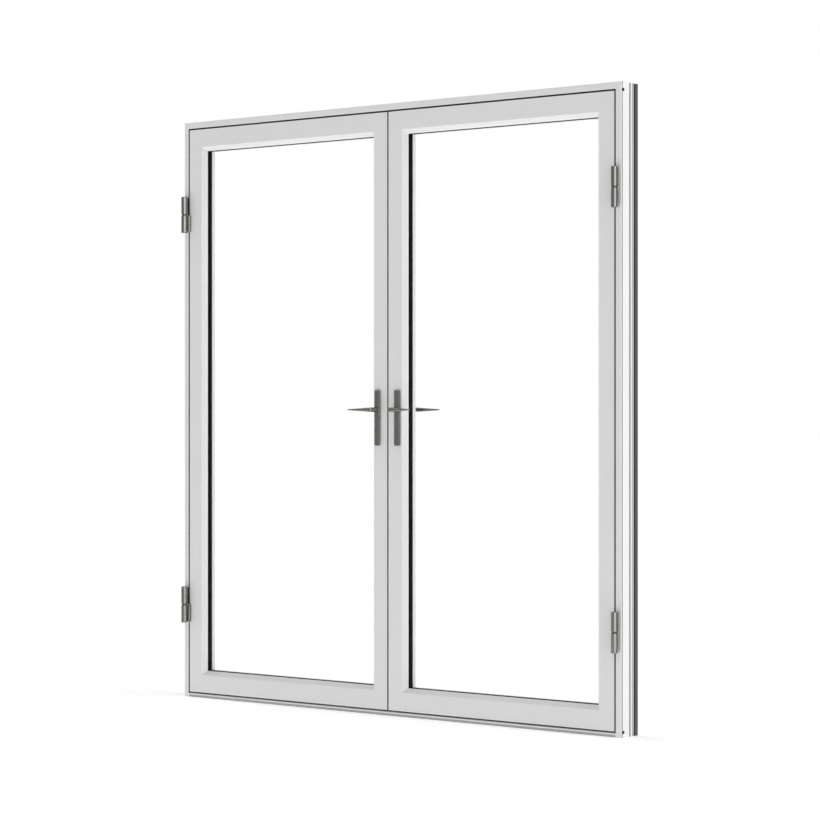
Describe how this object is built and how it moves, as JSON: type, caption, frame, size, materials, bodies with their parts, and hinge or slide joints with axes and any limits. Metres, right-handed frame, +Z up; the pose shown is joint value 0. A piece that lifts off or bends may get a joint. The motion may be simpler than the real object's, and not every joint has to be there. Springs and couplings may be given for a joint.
{
  "type": "double swing door",
  "caption": "Outward-opening double swing door in its frame: glazed clad-timber leaves on butt hinges, with lever handles that drive bolts into the head and the threshold.",
  "frame": {"origin": "underside of the threshold, middle of the frame's width and depth", "axes": "+Z up, +X to the right seen from outside, +Y into the wall; the leaves open towards -Y"},
  "size_m": [1.99, 0.158, 2.09],
  "materials": {
    "coated_aluminium": "smooth light grey powder coat",
    "painted_timber": "opaque white paint on pine",
    "dark_plastic": "matt dark grey",
    "black_plastic": "matt black",
    "black_rubber": "matt black rubber",
    "white_tape": "pale sealing tape",
    "clear_glass": "clear float glass",
    "grey_metal": "satin warm grey metal",
    "bright_steel": "zinc-plated steel"
  },
  "bodies": {
    "frame": {"jamb_left": "painted_timber", "jamb_right": "painted_timber", "head": "painted_timber", "frame_cladding": "coated_aluminium", "threshold": "coated_aluminium", "threshold_base": "coated_aluminium", "rear_strips": "dark_plastic", "frame_seal": "black_rubber", "corner_plugs": "black_plastic", "frame_hinges": "grey_metal", "hinge_pins": "bright_steel", "bolt_keepers": "bright_steel"},
    "leaf_left": {"hinge_stile_left": "painted_timber", "lock_stile_left": "painted_timber", "top_rail_left": "painted_timber", "bottom_rail_left": "painted_timber", "leaf_cladding_left": "coated_aluminium", "outer_pane_left": "clear_glass", "inner_pane_left": "clear_glass", "pane_spacer_left": "black_plastic", "glazing_gasket_left": "black_rubber", "glazing_tape_left": "white_tape", "glazing_beads_left": "painted_timber", "glazing_blocks_left": "black_plastic", "meeting_seal_left": "black_rubber", "leaf_hinges_left": "grey_metal", "lock_case_left": "bright_steel", "lock_faceplate_left": "bright_steel", "outer_plate_left": "grey_metal", "inner_plate_left": "grey_metal", "key_barrel_left": "grey_metal"},
    "leaf_right": {"hinge_stile_right": "painted_timber", "lock_stile_right": "painted_timber", "top_rail_right": "painted_timber", "bottom_rail_right": "painted_timber", "leaf_cladding_right": "coated_aluminium", "outer_pane_right": "clear_glass", "inner_pane_right": "clear_glass", "pane_spacer_right": "black_plastic", "glazing_gasket_right": "black_rubber", "glazing_tape_right": "white_tape", "glazing_beads_right": "painted_timber", "glazing_blocks_right": "black_plastic", "meeting_seal_right": "black_rubber", "leaf_hinges_right": "grey_metal", "lock_case_right": "bright_steel", "lock_faceplate_right": "bright_steel", "outer_plate_right": "grey_metal", "inner_plate_right": "grey_metal", "key_barrel_right": "grey_metal"},
    "lever_left": {"outer_lever_left": "grey_metal", "inner_lever_left": "grey_metal", "spindle_left": "bright_steel"},
    "top_bolt_body_left": {"top_bolt_left": "bright_steel"},
    "bottom_bolt_body_left": {"bottom_bolt_left": "bright_steel"},
    "lever_right": {"outer_lever_right": "grey_metal", "inner_lever_right": "grey_metal", "spindle_right": "bright_steel"},
    "top_bolt_body_right": {"top_bolt_right": "bright_steel"},
    "bottom_bolt_body_right": {"bottom_bolt_right": "bright_steel"}
  },
  "joints": [
    {"name": "leaf_left_swing", "type": "hinge", "parent": "frame", "child": "leaf_left", "pos_m": [-0.97925, -0.0608, 1.045], "axis": [0, 0, -1], "range_deg": [0, 110]},
    {"name": "leaf_right_swing", "type": "hinge", "parent": "frame", "child": "leaf_right", "pos_m": [0.97925, -0.0608, 1.045], "axis": [0, 0, 1], "range_deg": [0, 110]},
    {"name": "lever_left_turn", "type": "hinge", "parent": "leaf_left", "child": "lever_left", "pos_m": [-0.04525, -0.017, 1.045], "axis": [0, -1, 0], "range_deg": [0, 90]},
    {"name": "top_bolt_left_slide", "type": "slide", "parent": "leaf_left", "child": "top_bolt_body_left", "axis": [0, 0, 1], "range_m": [0, 0.014]},
    {"name": "bottom_bolt_left_slide", "type": "slide", "parent": "leaf_left", "child": "bottom_bolt_body_left", "axis": [0, 0, -1], "range_m": [0, 0.014]},
    {"name": "lever_right_turn", "type": "hinge", "parent": "leaf_right", "child": "lever_right", "pos_m": [0.04525, -0.017, 1.045], "axis": [0, 1, 0], "range_deg": [0, 90]},
    {"name": "top_bolt_right_slide", "type": "slide", "parent": "leaf_right", "child": "top_bolt_body_right", "axis": [0, 0, 1], "range_m": [0, 0.014]},
    {"name": "bottom_bolt_right_slide", "type": "slide", "parent": "leaf_right", "child": "bottom_bolt_body_right", "axis": [0, 0, -1], "range_m": [0, 0.014]}
  ],
  "couplings": [
    {"joint": "top_bolt_left_slide", "follows": "lever_left_turn", "m_per_rad": 0.0089126},
    {"joint": "bottom_bolt_left_slide", "follows": "lever_left_turn", "m_per_rad": 0.0089126},
    {"joint": "top_bolt_right_slide", "follows": "lever_right_turn", "m_per_rad": 0.0089126},
    {"joint": "bottom_bolt_right_slide", "follows": "lever_right_turn", "m_per_rad": 0.0089126}
  ]
}
